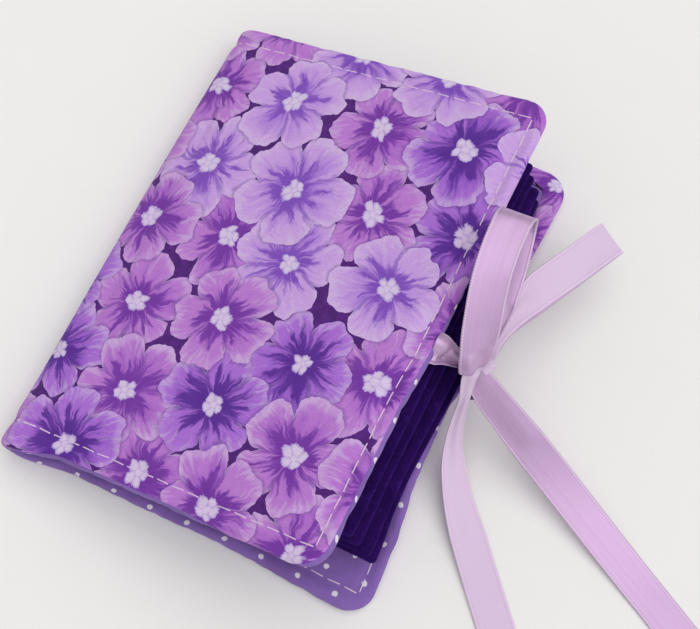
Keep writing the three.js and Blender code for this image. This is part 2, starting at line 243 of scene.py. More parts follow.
def quilt(face, side, reach, crown):
    """Presses the topstitched channel into one cloth and crowns the wadding between."""
    u, y, h = face["points"].T
    d = face["depths"]
    gap = stitch_gap(reach, face["points"])
    run = np.where(np.abs(y) > HALF_HEIGHT - RIM - 1, u, y)
    pucker = 1 + PUCKER * np.cos(2 * math.pi * run / STITCH_PITCH) * hump(gap, 0, 1.6)
    channel = CHANNEL_DEPTH * pucker * hump(gap, 0, CHANNEL_SPREAD)
    if side < 0:
        leaf_seam = eased(np.abs(y), HALF_HEIGHT - 8, HALF_HEIGHT - 10)
        channel = channel + CHANNEL_DEPTH * hump(u, 0, 0.8) * leaf_seam
    ripple = 0.10 * np.sin(u / 7.3 + 1.1) * np.sin(y / 8.9 + 0.4) + 0.07 * np.sin(u / 3.9 + y / 5.1)
    off_fold = eased(u, FOLD_ARC + 1, FOLD_ARC + 13)
    swell = crown * off_fold * (eased(d, 5, 21) + ripple * eased(d, 1, 6))
    inward = channel - swell
    face["points"] = np.stack([u, y, h - side * inward * eased(d, 0, EDGE_DEPTH)], axis=1)


def puff(outer, lining, reach, name):
    """Blows the wadding up between the two cloths, held down along the stitches, seam and fold."""
    first = len(outer["points"])
    joined = np.concatenate([outer["points"], lining["points"]])
    lining_quads = lining["quads"] + first
    renamed = np.arange(len(joined))
    renamed[lining["seam"] + first] = outer["seam"]
    faces = np.concatenate([outer["quads"][:, ::-1], renamed[lining_quads]])
    mesh = bpy.data.meshes.new(name)
    mesh.from_pydata((joined * MM * PUFF_SCALE).tolist(), [], faces.tolist())
    pad = bpy.data.objects.new(name, mesh)
    bpy.context.scene.collection.objects.link(pad)
    gaps = np.concatenate([outer["gaps"], lining["gaps"]])
    held = (np.abs(stitch_gap(reach, joined)) < 0.7) | (gaps < 0.5) | (joined[:, 0] < FOLD_ARC + 2)
    pins = pad.vertex_groups.new(name="held")
    pins.add(np.flatnonzero(held).tolist(), 1, "REPLACE")
    cloth = pad.modifiers.new("puff", "CLOTH")
    cloth.settings.quality = 4
    cloth.settings.mass = 0.02
    cloth.settings.tension_stiffness = 12
    cloth.settings.compression_stiffness = 12
    cloth.settings.shear_stiffness = 4
    cloth.settings.bending_stiffness = 0.4
    cloth.settings.vertex_group_mass = "held"
    cloth.settings.use_pressure = True
    cloth.settings.uniform_pressure_force = 4
    cloth.settings.shrink_min = -0.012
    cloth.settings.effector_weights.gravity = 0
    cloth.collision_settings.use_collision = False
    for step in range(1, PUFF_STEPS + 1):
        bpy.context.scene.frame_set(step)
    moved = pad.evaluated_get(bpy.context.evaluated_depsgraph_get()).data
    swollen = np.empty(3 * len(joined))
    moved.vertices.foreach_get("co", swollen)
    bpy.context.scene.frame_set(1)
    bpy.data.objects.remove(pad)
    shift = swollen.reshape(-1, 3) / (MM * PUFF_SCALE) - joined
    size = np.maximum(np.linalg.norm(shift, axis=1, keepdims=True), 1e-9)
    shift *= np.minimum(size, PUFF_LIMIT) / size
    shift[renamed != np.arange(len(joined))] = 0
    outer["points"] = outer["points"] + shift[:first]
    lining["points"] = lining["points"] + shift[first:]


def new_piece(name, points, faces, material, places=None):
    """A smooth mesh, from millimetres, with its places on the flat cloth as a UV map."""
    mesh = bpy.data.meshes.new(name)
    mesh.from_pydata((points * MM).tolist(), [], faces)
    if places is not None:
        uv = mesh.uv_layers.new(name="cloth")
        corners = np.empty(len(mesh.loops), int)
        mesh.loops.foreach_get("vertex_index", corners)
        uv.data.foreach_set("uv", (places[corners] * UV_PER_MM).ravel())
    mesh.polygons.foreach_set("use_smooth", np.ones(len(mesh.polygons), bool))
    mesh.materials.append(material)
    piece = bpy.data.objects.new(name, mesh)
    bpy.context.scene.collection.objects.link(piece)
    return piece


def select_only(piece):
    bpy.ops.object.select_all(action="DESELECT")
    piece.select_set(True)
    bpy.context.view_layer.objects.active = piece


def round_off(piece):
    """Rounds a cloth with one applied subdivision."""
    select_only(piece)
    smooth = piece.modifiers.new("round", "SUBSURF")
    smooth.levels = 1
    smooth.render_levels = 1
    bpy.ops.object.modifier_apply(modifier=smooth.name)
    bpy.ops.object.select_all(action="DESELECT")


def back_seam(u, y):
    """The back's seam rolls under at the foot and over the lining at the head of the fore-edge."""
    fore = eased(u, BACK_REACH - 9, BACK_REACH - 2)
    foot = (0.8 * fore - 1.5) * eased(y, 12, -18) * eased(u, 4, 16)
    head = 5.2 * eased(y, 26, 48) * eased(u, 40, 80)
    return foot + head


def front_seam(u, y):
    """The front's seam is turned under, but rolls out at the foot and low on the fore-edge, where the
    lining shows as a thin rim."""
    under = 0.9 * eased(u, 4, 16)
    fore = eased(u, FRONT_REACH - 8, FRONT_REACH - 1)
    foot = eased(y, -20, -40) * eased(u, 4, 16) * eased(u, 62, 48)
    return under - 2.1 * fore * eased(y, 30, -10) - 2.3 * foot


HALVES = ((False, "back", BACK_REACH), (True, "front", FRONT_REACH))
cover_halves = {}
for front, _, reach in HALVES:
    seam_at = front_seam if front else back_seam
    outer = cover_face(reach, seam_at, -1)
    lining = cover_face(reach, seam_at, 1)
    quilt(outer, -1, reach, 0.35 if front else 0.0)
    quilt(lining, 1, reach, 0.25)
    puff(outer, lining, reach, "pad")
    if not front:
        outer["points"][:, 2] = np.maximum(outer["points"][:, 2], TABLE_GAP)
    cover_halves[front] = (outer, lining)


def srgb(red, green, blue):
    """A colour written in 0 to 255, as a shader takes it."""
    shares = [c / 255 for c in (red, green, blue)]
    linear = [c / 12.92 if c <= 0.04045 else ((c + 0.055) / 1.055) ** 2.4 for c in shares]
    return (*linear, 1.0)


class Wire:
    """One output of a shader node, so that shader maths is written as arithmetic."""

    def __init__(self, tree, socket=None):
        self.tree = tree
        self.socket = socket

    def add(self, kind, settings=(), inputs=(), output=0):
        node = self.tree.nodes.new(kind)
        for name, value in dict(settings).items():
            if name == "stops":
                while len(node.color_ramp.elements) < len(value):
                    node.color_ramp.elements.new(1.0)
                for element, (place, colour) in zip(node.color_ramp.elements, value):
                    element.position = place
                    element.color = colour
            elif name == "ramp":
                node.color_ramp.interpolation = value
            else:
                setattr(node, name, value)
        for name, value in dict(inputs).items():
            if isinstance(value, Wire):
                self.tree.links.new(value.socket, node.inputs[name])
            else:
                node.inputs[name].default_value = value
        return Wire(self.tree, node.outputs[output])

    def maths(self, operation, *terms):
        return self.add("ShaderNodeMath", {"operation": operation}, dict(enumerate(terms)))

    def __add__(self, other):
        return self.maths("ADD", self, other)

    __radd__ = __add__

    def __sub__(self, other):
        return self.maths("SUBTRACT", self, other)

    def __rsub__(self, other):
        return self.maths("SUBTRACT", other, self)

    def __mul__(self, other):
        return self.maths("MULTIPLY", self, other)

    __rmul__ = __mul__

    def __truediv__(self, other):
        return self.maths("DIVIDE", self, other)

    def __rtruediv__(self, other):
        return self.maths("DIVIDE", other, self)

    def __pow__(self, other):
        return self.maths("POWER", self, other)

    def __gt__(self, other):
        return self.maths("GREATER_THAN", self, other)

    def __lt__(self, other):
        return self.maths("LESS_THAN", self, other)

    def ramp(self, low, high):
        """0 below low, 1 above high, eased between."""
        ends = {"Value": self, "From Min": low, "From Max": high}
        return self.add("ShaderNodeMapRange", {"interpolation_type": "SMOOTHSTEP"}, ends)

    def vector(self, x, y, z=0.0):
        return self.add("ShaderNodeCombineXYZ", (), {0: x, 1: y, 2: z})

    def parts(self):
        split = self.add("ShaderNodeSeparateXYZ", (), {0: self})
        outputs = split.socket.node.outputs
        return [Wire(self.tree, outputs[i]) for i in range(3)]

    def noise(self, scale, detail=2.0, roughness=0.5, output=0):
        inputs = {"Vector": self, "Scale": scale, "Detail": detail, "Roughness": roughness}
        return self.add("ShaderNodeTexNoise", (), inputs, output)

    def mixed(self, share, first, second):
        """A colour between two others."""
        return self.add("ShaderNodeMix", {"data_type": "RGBA"}, {0: share, 6: first, 7: second}, 2)

    def tinted(self, colour, strength):
        """A colour multiplied by a value."""
        grey = self.add("ShaderNodeCombineColor", (), {0: strength, 1: strength, 2: strength})
        times = {"data_type": "RGBA", "blend_type": "MULTIPLY"}
        return self.add("ShaderNodeMix", times, {0: 1.0, 6: colour, 7: grey}, 2)


def new_material(name):
    """A material with nothing in it, and the wire that its nodes start from."""
    material = bpy.data.materials.new(name)
    material.use_nodes = True
    material.node_tree.nodes.clear()
    return material, Wire(material.node_tree)


def surface(start, settings, height, strength, distance):
    """The shader that ends a material, with this height as its bump."""
    bump = {"Strength": strength, "Distance": distance, "Height": height}
    normal = start.add("ShaderNodeBump", (), bump)
    shader = start.add("ShaderNodeBsdfPrincipled", (), {**settings, "Normal": normal})
    output = start.tree.nodes.new("ShaderNodeOutputMaterial")
    start.tree.links.new(shader.socket, output.inputs["Surface"])


def weave(start, across, along, pitch):
    """Height of a plain weave with threads of this pitch, from 0 to 1."""
    warp = start.maths("SINE", across * (math.pi / pitch))
    weft = start.maths("SINE", along * (math.pi / pitch))
    return start.maths("ABSOLUTE", warp * weft)


def flat_place(start):
    """The two coordinates on the flat cloth, in millimetres."""
    first, second, _ = start.add("ShaderNodeUVMap", {"uv_map": "cloth"}).parts()
    return first * (1 / UV_PER_MM), second * (1 / UV_PER_MM)


def cotton(start, across, along, colour, pitch, thread_show, slub_show, roughness, sheen, raised=0.0):
    """Ends the material of a plain-woven cotton, its colour broken up by threads and slubs."""
    threads = weave(start, across, along, pitch)
    slub = start.vector(across * 0.35, along * 2.4).noise(1.6, 3.0, 0.6)
    tone = 0.86 + threads * thread_show + (slub - 0.5) * slub_show
    settings = {
        "Base Color": start.tinted(colour, tone),
        "Roughness": roughness,
        "Sheen Weight": sheen,
        "Sheen Roughness": 0.5,
    }
    surface(start, settings, threads + slub * 0.6 + raised, 0.35, 0.00012)


def printed_cloth():
    """Violet blossoms of five broad petals, painted over one another on a dark ground."""
    material, start = new_material("printed_cloth")
    petals, column_pitch, row_pitch, stray = 5, 20.5, 18.2, 0.24
    flat_across, flat_along = flat_place(start)
    cloth = start.vector(flat_across, flat_along)
    drift_across, drift_along, _ = cloth.noise(0.15, 3.0, 0.55, 1).parts()
    across = flat_across + (drift_across - 0.5) * 4.4 + 4.0
    along = flat_along + (drift_along - 0.5) * 4.4 + 7.0

    def chance(first, second, output):
        spot = start.vector(first, second)
        plane = {"noise_dimensions": "2D"}
        return start.add("ShaderNodeTexWhiteNoise", plane, {"Vector": spot}, output)

    def blossom_shape(dx, dy, seed):
        """Turn and radius about the heart, the petal's middle line, its own chance and its edge."""
        turn = start.maths("ARCTAN2", dy, dx) + seed * (2 * math.pi)
        radius = start.maths("SQRT", dx * dx + dy * dy)
        lobe = start.maths("ABSOLUTE", start.maths("COSINE", turn * (petals / 2)))
        which = start.maths("FLOOR", turn * (petals / (2 * math.pi)) + 0.5)
        which = start.maths("FLOORED_MODULO", which, petals)
        own = chance(which, seed * 91.0, "Value")
        size = 12.9 + 1.6 * start.maths("FRACT", seed * 7.31)
        edge = size * (0.90 + 0.16 * own) * (0.56 + 0.44 * lobe ** 0.5 - 0.10 * lobe ** 9.0)
        return turn, radius, lobe, own, edge

    row_now = start.maths("FLOOR", along / row_pitch - 0.5)
    blossoms = []
    for row_step in (0, 1):
        row = row_now + row_step
        odd = start.maths("FLOORED_MODULO", row, 2.0)
        column_now = start.maths("FLOOR", across / column_pitch - odd * 0.5 - 0.5)
        for column_step in (0, 1):
            column = column_now + column_step
            one, two, seed = chance(column, row, "Color").parts()
            dx = across - (column + odd * 0.5 + 0.5 + (one - 0.5) * stray) * column_pitch
            dy = along - (row + 0.5 + (two - 0.5) * stray) * row_pitch
            _, radius, _, _, edge = blossom_shape(dx, dy, seed)
            rank = start.maths("FRACT", one * 5.13 + two * 3.77)
            blossoms.append((edge - radius, rank, start.vector(dx, dy, seed)))
    best = None
    for inside, rank, here in blossoms:
        shown = (inside > 0) * (rank + 0.05)
        if best is None:
            best, winner = shown, here
        else:
            choice = {0: shown > best, 4: winner, 5: here}
            winner = start.add("ShaderNodeMix", {"data_type": "VECTOR"}, choice, 1)
            best = start.maths("MAXIMUM", best, shown)
    shade = None
    for inside, rank, _ in blossoms:
        cast = ((rank + 0.05) > (best + 0.001)) * inside.ramp(-1.1, 0.0)
        shade = cast if shade is None else start.maths("MAXIMUM", shade, cast)

    dx, dy, seed = winner.parts()
    turn, radius, lobe, own, edge = blossom_shape(dx, dy, seed)
    out = radius / edge
    kind = start.maths("FRACT", seed * 13.7)

    def tint(pale, orchid, violet):
        stops = [(0.0, srgb(*pale)), (0.30, srgb(*orchid)), (0.76, srgb(*violet))]
        return start.add("ShaderNodeValToRGB", {"ramp": "CONSTANT", "stops": stops}, {"Fac": kind})

    light = tint((207, 165, 233), (193, 126, 216), (176, 112, 220))
    deep = tint((172, 118, 222), (166, 92, 204), (132, 66, 194))
    dark = tint((128, 74, 192), (118, 46, 166), (86, 30, 150))
    ray_x = dx / radius
    ray_y = dy / radius
    brush = start.vector(ray_x * 4.6 + seed * 57.0, ray_y * 4.6, radius * 0.10).noise(1.0, 3.0, 0.55)
    fine = start.vector(ray_x * 11.0 + seed * 31.0, ray_y * 11.0, radius * 0.20).noise(1.0, 2.0, 0.5)
    wash = (brush * 1.2 + (0.60 - out) * 0.85 + (own - 0.5) * 0.3).ramp(0.40, 0.95)
    colour = start.mixed(wash * 0.85, light, deep)
    streak = (brush * 0.8 + fine * 0.45 + (0.50 - out) * 0.55 + (kind - 0.5) * 0.08).ramp(0.58, 0.72)
    colour = start.mixed(streak * 0.9, colour, dark)
    glint = (fine * 0.8 + brush * 0.2 + (out - 0.6) * 0.35).ramp(0.56, 0.70) * (1 - streak)
    colour = start.mixed(glint * 0.35, colour, srgb(224, 202, 236))
    cleft = (1 - lobe).ramp(0.70, 0.97) * (1 - out.ramp(0.94, 1.0)) * out.ramp(0.14, 0.3)
    colour = start.mixed(cleft * 0.7, colour, dark)
    pale = out.ramp(0.82, 0.94) * (0.2 + own * 0.6)
    colour = start.mixed(pale * 0.5, colour, srgb(222, 198, 236))
    colour = start.mixed(shade * 0.4, colour, srgb(78, 32, 136))
    ring = 3.9 + 1.1 * start.maths("COSINE", turn * petals) + (brush - 0.5) * 3.0 - radius
    colour = start.mixed(ring.ramp(-0.6, 0.5) * 0.7, colour, dark)
    share = math.pi / petals
    bead_turn = start.maths("FLOORED_MODULO", turn + seed * 9.0, 2 * share) - share
    bead_x = radius * start.maths("COSINE", bead_turn) - 1.55
    bead_y = radius * start.maths("SINE", bead_turn)
    bead = start.maths("SQRT", bead_x * bead_x + bead_y * bead_y)
    bead = start.maths("MINIMUM", bead, radius * 1.05) + (fine - 0.5)
    heart = 1 - bead.ramp(1.0, 1.25)
    heart_colour = start.mixed(bead.ramp(0.5, 1.2), srgb(224, 205, 238), srgb(180, 152, 220))
    colour = start.mixed(heart, colour, heart_colour)
    ground = start.mixed(cloth.noise(0.5, 2.0).ramp(0.35, 0.7), srgb(72, 10, 112), srgb(90, 24, 132))
    colour = start.mixed(best > 0.01, ground, colour)
    cotton(start, flat_across, flat_along, colour, 0.42, 0.20, 0.36, 0.86, 0.05)
    return material


def bend_at_fold(piece, front):
    """The same for every layer and stitch: works out the ends of the fold, mirrored for the front,
    which nothing uses, and bakes the piece's place into its mesh.
    """
    ends = np.array([[-35.6, 0.0, 0.0], [-40.4, 0.0, 3.6]])
    if front:
        middle = np.array([-math.sin(FOLD_HALF_TURN), 0, -math.cos(FOLD_HALF_TURN)])
        centre = np.array([FOLD_CENTRE[0], 0, FOLD_CENTRE[1]])
        from_centre = ends - centre
        ends = centre + 2 * np.outer(from_centre @ middle, middle) - from_centre
    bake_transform(piece)


printed = printed_cloth()
for front, half, _ in HALVES:
    outer = cover_halves[front][0]
    places = outer["places"].copy()
    places[:, 0] += (FOLD_RADIUS / MID_RADIUS - 1) * np.minimum(places[:, 0], FOLD_ARC)
    if not front:
        places[:, 0] *= -1
    quads = outer["quads"] if front else outer["quads"][:, ::-1]
    points = settle(front, fold_strip(front, outer["points"]))
    piece = new_piece(f"{half}_printed_cloth", points, quads.tolist(), printed, places)
    round_off(piece)
    if front:
        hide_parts("front_cover_cloth", "front_cover_wadding")
    else:
        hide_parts("back_cover_cloth", "back_cover_wadding", "spine_cloth", "spine_wadding")
    bend_at_fold(piece, front)

# Pin-dot lining: one rectangle of plain-weave cotton, sewn to the printed cloth round the edge and
# turned out with it. At the foot it rolls out past the seam, so that its dots show from above.
DOT_PITCH = (8.72, 8.95)
DOT_START = (82.6, -48.1)
DOT_SKEW = 0.034
DOT_LEAN = 0.08
DOT_RADIUS = 0.58


def lining_cloth():
    """Violet cotton with small white dots, in rows that step by half a pitch."""
    material, start = new_material("lining_cloth")
    across, along = flat_place(start)
    along = along + (DOT_START[0] - across) * DOT_SKEW
    cloth = start.vector(across, along)
    wobble_across, wobble_along, _ = cloth.noise(1.1, 2.0, 0.5, 1).parts()
    nearest = None
    for step in (0.0, 0.5):
        column = (across - DOT_START[0]) / DOT_PITCH[0] + step
        row = (along - DOT_START[1]) / DOT_PITCH[1] + step
        dx = (column - start.maths("ROUND", column)) * DOT_PITCH[0] + (wobble_across - 0.5) * 0.5
        dy = (row - start.maths("ROUND", row)) * DOT_PITCH[1] + (wobble_along - 0.5) * 0.5
        radius = start.maths("SQRT", dx * dx + dy * dy)
        nearest = radius if nearest is None else start.maths("MINIMUM", nearest, radius)
    dot = 1 - nearest.ramp(DOT_RADIUS - 0.1, DOT_RADIUS + 0.1)
    cloudy = cloth.noise(0.07, 2.0).ramp(0.3, 0.7)
    violet = start.mixed(cloudy, srgb(126, 92, 170), srgb(138, 103, 185))
    colour = start.mixed(dot * 0.94, violet, srgb(240, 230, 244))
    cotton(start, across, along, colour, 0.40, 0.18, 0.30, 0.88, 0.12, raised=dot * 0.5)
    return material


dotted = lining_cloth()
for front, half, reach in HALVES:
    lining = cover_halves[front][1]
    places = lining["places"].copy()
    if not front:
        places[:, 0] += DOT_LEAN * (DOT_START[1] - places[:, 1])
    quads = lining["quads"][:, ::-1] if front else lining["quads"]
    points = settle(front, fold_strip(front, lining["points"]))
    piece = new_piece(f"{half}_lining", points, quads.tolist(), dotted, places)
    round_off(piece)
    (reach + 1) * MM
    if front:
        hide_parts("front_cover_lining")
    else:
        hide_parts("back_cover_lining", "spine_lining")
    bend_at_fold(piece, front)

# Topstitching: pale thread, machine sewn through all the layers a little in from the edge, so each
# stitch shows on both faces and dips into the cloth at its ends.
THREAD_RADIUS = 0.145
STITCH_LENGTH = 3.2
STITCH_PROUD = 0.1
STITCH_TURN = 0.45


def sewing_thread():
    """Pale pink thread of two twisted plies."""
    material, start = new_material("sewing_thread")
    place = start.add("ShaderNodeTexCoord", (), (), "Object")
    x, y, z = place.parts()
    ply = start.maths("SINE", (x + y + z * 0.6) * (2 * math.pi / 0.0005))
    grain = place.noise(2600.0, 2.0)
    tone = 0.93 + ply * 0.05 + (grain - 0.5) * 0.12
    pink = start.tinted(srgb(236, 212, 236), tone)
    settings = {"Base Color": pink, "Roughness": 0.55, "Sheen Weight": 0.2}
    surface(start, settings, ply * 0.5 + grain, 0.4, 0.00008)
    return material


def one_stitch():
    """One stitch along X, round in section, its ends turned down into the cloth."""
    bpy.ops.object.select_all(action="DESELECT")
    straight = STITCH_LENGTH - 2 * STITCH_TURN
    bpy.ops.mesh.primitive_cylinder_add(
        vertices=6, radius=THREAD_RADIUS, depth=straight, end_fill_type="NGON",
        rotation=(0, math.pi / 2, 0),
    )
    stitch = bpy.context.object
    bpy.ops.object.transform_apply(location=False, rotation=True, scale=False)
    for side in (-1, 1):
        for step, drop, size in ((0.25, -0.07, 0.95), (0.2, -0.22, 0.7)):
            bpy.ops.object.mode_set(mode="EDIT")
            bpy.ops.mesh.select_mode(type="FACE")
            bpy.ops.mesh.select_all(action="DESELECT")
            bpy.ops.object.mode_set(mode="OBJECT")
            caps = [face for face in stitch.data.polygons if len(face.vertices) == 6]
            near_end = STITCH_LENGTH / 2 - 2 * STITCH_TURN
            ends = [face for face in caps if face.center.x * side > near_end]
            ends[0].select = True
            bpy.ops.object.mode_set(mode="EDIT")
            bpy.ops.mesh.extrude_region_move(TRANSFORM_OT_translate={"value": (side * step, 0, drop)})
            bpy.ops.transform.resize(value=(1, size, size))
            bpy.ops.object.mode_set(mode="OBJECT")
    points = np.array([vertex.co for vertex in stitch.data.vertices])
    faces = [tuple(face.vertices) for face in stitch.data.polygons]
    bpy.data.objects.remove(stitch)
    return points, faces


def sewn(places, stitch):
    """Copies of the stitch, each with its middle on the flat strip, its run and the way out of it."""
    points, faces = stitch
    all_points, all_faces = [], []
    for middle, run, out in places:
        run = run / np.linalg.norm(run)
        side = np.cross(out, run)
        first = len(all_points) * len(points)
        all_points.append(middle + points[:, :1] * run + points[:, 1:2] * side + points[:, 2:3] * out)
        all_faces += [tuple(first + i for i in face) for face in faces]
    return np.concatenate(all_points), all_faces


def face_outward(piece):
    """Turns every face of a closed piece outward."""
    select_only(piece)
    bpy.ops.object.mode_set(mode="EDIT")
    bpy.ops.mesh.select_all(action="SELECT")
    bpy.ops.mesh.normals_make_consistent(inside=False)
    bpy.ops.object.mode_set(mode="OBJECT")
    bpy.ops.object.select_all(action="DESELECT")


thread = sewing_thread()
stitch = one_stitch()
for front, half, reach in HALVES:
    end, rise = reach - FORE_INSET, HALF_HEIGHT - STITCH_INSET
    corners = np.array([[0, -rise], [end, -rise], [end, rise], [0, rise]])
    places = []
    for first, last in zip(corners[:-1], corners[1:]):
        count = round(np.linalg.norm(last - first) / STITCH_PITCH)
        for i in range(count):
            here = first + (last - first) * (i + 0.5) / count
            run = np.array([*(last - first), 0]) / np.linalg.norm(last - first)
            run = run + np.array([-run[1], run[0], 0]) * 0.05 * math.sin(i * 2.4)
            depth = CHANNEL_DEPTH - STITCH_PROUD
            places.append((np.array([*here, depth]), run, np.array([0, 0, -1.0])))
            places.append((np.array([*here, COVER_THICKNESS - depth]), run, np.array([0, 0, 1.0])))
    points, faces = sewn(places, stitch)
    points = settle(front, fold_strip(front, points))
    piece = new_piece(f"{half}_stitches", points, faces, thread)
    face_outward(piece)
    if front:
        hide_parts("front_topstitching")
    else:
        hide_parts("back_topstitching", "spine_topstitching_1", "spine_topstitching_2")
    bend_at_fold(piece, front)

# Leaf seam: the same thread, sewn along the middle of the spine through the strip and the folded
# felt, in a groove that it draws into the spine's outer face.
SEAM_HALF = 45
places = []
for i in range(round(2 * SEAM_HALF / STITCH_PITCH)):
    middle = np.array([0, -SEAM_HALF + (i + 0.5) * STITCH_PITCH, CHANNEL_DEPTH - STITCH_PROUD])
    places.append((middle, np.array([0.05 * math.sin(i * 1.7), 1, 0]), np.array([0, 0, -1.0])))
points, faces = sewn(places, stitch)
piece = new_piece("leaf_seam_stitches", fold_strip(False, points), faces, thread)
face_outward(piece)
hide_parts("leaf_seam")
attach(piece, "spine")

# Felt leaves: two sheets of wool felt, folded one inside the other and sewn into the spine, so four
# leaves fan out between the covers. Their cut edges are soft and fuzzy and not quite straight.
LEAF_HALF = 45
LEAF_THICKNESS = 0.75
LEAF_WIDTHS = (79.4, 78.8, 77.2, 76.6)
LEAF_ROOTS = ((-38.934, 3.390), (-39.083, 4.359), (-39.232, 5.327), (-39.381, 6.296))
LEAF_STEP = math.radians(3.5)
LEAF_ROUND = 0.5
LEAF_CORNER = 1.2


def felt():
    """Dark violet wool, matted, with paler fibres lying on it every way."""
    material, start = new_material("felt")
    place = start.add("ShaderNodeTexCoord", (), (), "Object")
    x, y, z = place.parts()
    nap = None
    for turn in (0.4, 1.5, 2.5):
        along = x * math.cos(turn) + y * math.sin(turn)
        beside = y * math.cos(turn) - x * math.sin(turn)
        lay = start.vector(along * 330.0, beside * 1100.0, z * 700.0)
        curls = {"Vector": lay, "Scale": 1.0, "Detail": 3.0, "Roughness": 0.6, "Distortion": 1.4}
        fibres = start.add("ShaderNodeTexNoise", (), curls)
        nap = fibres if nap is None else start.maths("MAXIMUM", nap, fibres)
    mat = place.noise(160.0, 3.0, 0.6)
    colour = start.mixed(mat.ramp(0.3, 0.7), srgb(36, 9, 78), srgb(47, 14, 96))
    colour = start.mixed(nap.ramp(0.58, 0.80) * 0.4, colour, srgb(88, 48, 152))
    settings = {
        "Base Color": colour, "Roughness": 0.96, "Specular IOR Level": 0.1,
        "Sheen Weight": 0.1, "Sheen Roughness": 0.5, "Sheen Tint": srgb(120, 80, 190),
    }
    surface(start, settings, nap + mat * 0.8, 0.7, 0.0004)
    return material


def slab_quads(rows, columns):
    """The faces of two grids of points, one behind the other and joined round their rims."""
    grid = grid_quads(rows, columns)
    behind = rows * columns
    rim = np.array(grid_rim(rows, columns) + list(range(columns - 2, 0, -1)))
    after = np.roll(rim, -1)
    sides = np.stack([behind + rim, behind + after, after, rim], axis=1)
    return np.concatenate([grid, behind + np.roll(grid[:, ::-1], 1, axis=1), sides]).tolist()


wool = felt()
for k, (width, root) in enumerate(zip(LEAF_WIDTHS, LEAF_ROOTS), start=1):
    from_edge = np.array([0.9, 0.6, 0.36, 0.18, 0.06, 0.0])
    a_lines = np.concatenate([np.linspace(0, 1 - 1.4 / width, 56), 1 - from_edge / width])
    b_lines = np.concatenate([np.linspace(0, 1 - 1.4 / LEAF_HALF, 32), 1 - from_edge / LEAF_HALF])
    b_lines = np.concatenate([-b_lines[:0:-1], b_lines])
    nu, ny = len(a_lines), len(b_lines)
    a, b = np.meshgrid(a_lines, b_lines, indexing="ij")
    a, b = a.ravel(), b.ravel()
    corner_u = np.clip(1 - (1 - a) * width / LEAF_CORNER, 0, 1)
    corner_y = np.clip(1 - (1 - np.abs(b)) * LEAF_HALF / LEAF_CORNER, 0, 1)
    cut_u = (corner_u - corner_u * np.sqrt(1 - corner_y**2 / 2)) * LEAF_CORNER
    cut_y = (corner_y - corner_y * np.sqrt(1 - corner_u**2 / 2)) * LEAF_CORNER
    y_flat = b * LEAF_HALF
    dent = 1.7 * eased(b, 0, 1) + 0.9 * hump(y_flat, -27, 15) - 0.5 * eased(y_flat, -30, -45)
    nibble = 0.16 * np.sin(b * 3 + k) + 0.03 * np.sin(b * 29 + 2 * k)
    trim = 0.12 * np.sin(a * 7 + k) + 0.03 * np.sin(a * 37 + 2 * k)
    u = a * (width + nibble - dent * (4 - k) / 3) - cut_u
    y = b * (LEAF_HALF + trim * np.abs(b)) - np.sign(b) * cut_y
    wave = 0.22 * a * np.sin(b * 3.1 + 1.3 * k) + 0.12 * a * np.sin(a * 5 + b * 2 + k)
    layers = []
    inset = np.clip(np.minimum((1 - a) * width, (1 - np.abs(b)) * LEAF_HALF) / LEAF_ROUND, 0, 1)
    soft = 0.15 + 0.85 * np.sqrt(1 - (1 - inset) ** 2)
    for side in (-1, 1):
        h = wave + side * LEAF_THICKNESS / 2 * soft
        tilt = LEAF_STEP * k
        points = np.stack([
            root[0] + u * math.cos(tilt) - h * math.sin(tilt),
            y,
            root[1] + u * math.sin(tilt) + h * math.cos(tilt),
        ], axis=1)
        points[:, 2] += EDGE_LIFT * (1 - 0.22 * k) * edge_pull(points)
        layers.append(points)
    leaf_places = np.tile(np.stack([u, y], axis=1), (2, 1))
    leaf = new_piece(f"felt_sheet_{k}", np.concatenate(layers), slab_quads(nu, ny), wool, leaf_places)
    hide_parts(f"felt_leaf_{k}")
    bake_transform(leaf)

# Ribbon ties: two lengths of satin ribbon with woven edges, one caught in the seam of each
# fore-edge and tied together in a bow. The front's ribbon makes the upper loop, the knot's wrap and
# the left tail.
RIBBON_WIDTH = 8.0
RIBBON_THICKNESS = 0.32
REVERSE_PLACE = 40
KNOT = np.array([41.436, -4.0, 27.951])
LOWER_TURN = np.array([2.2, 3.4, -4.7])
LOWER_KNOT = KNOT + LOWER_TURN


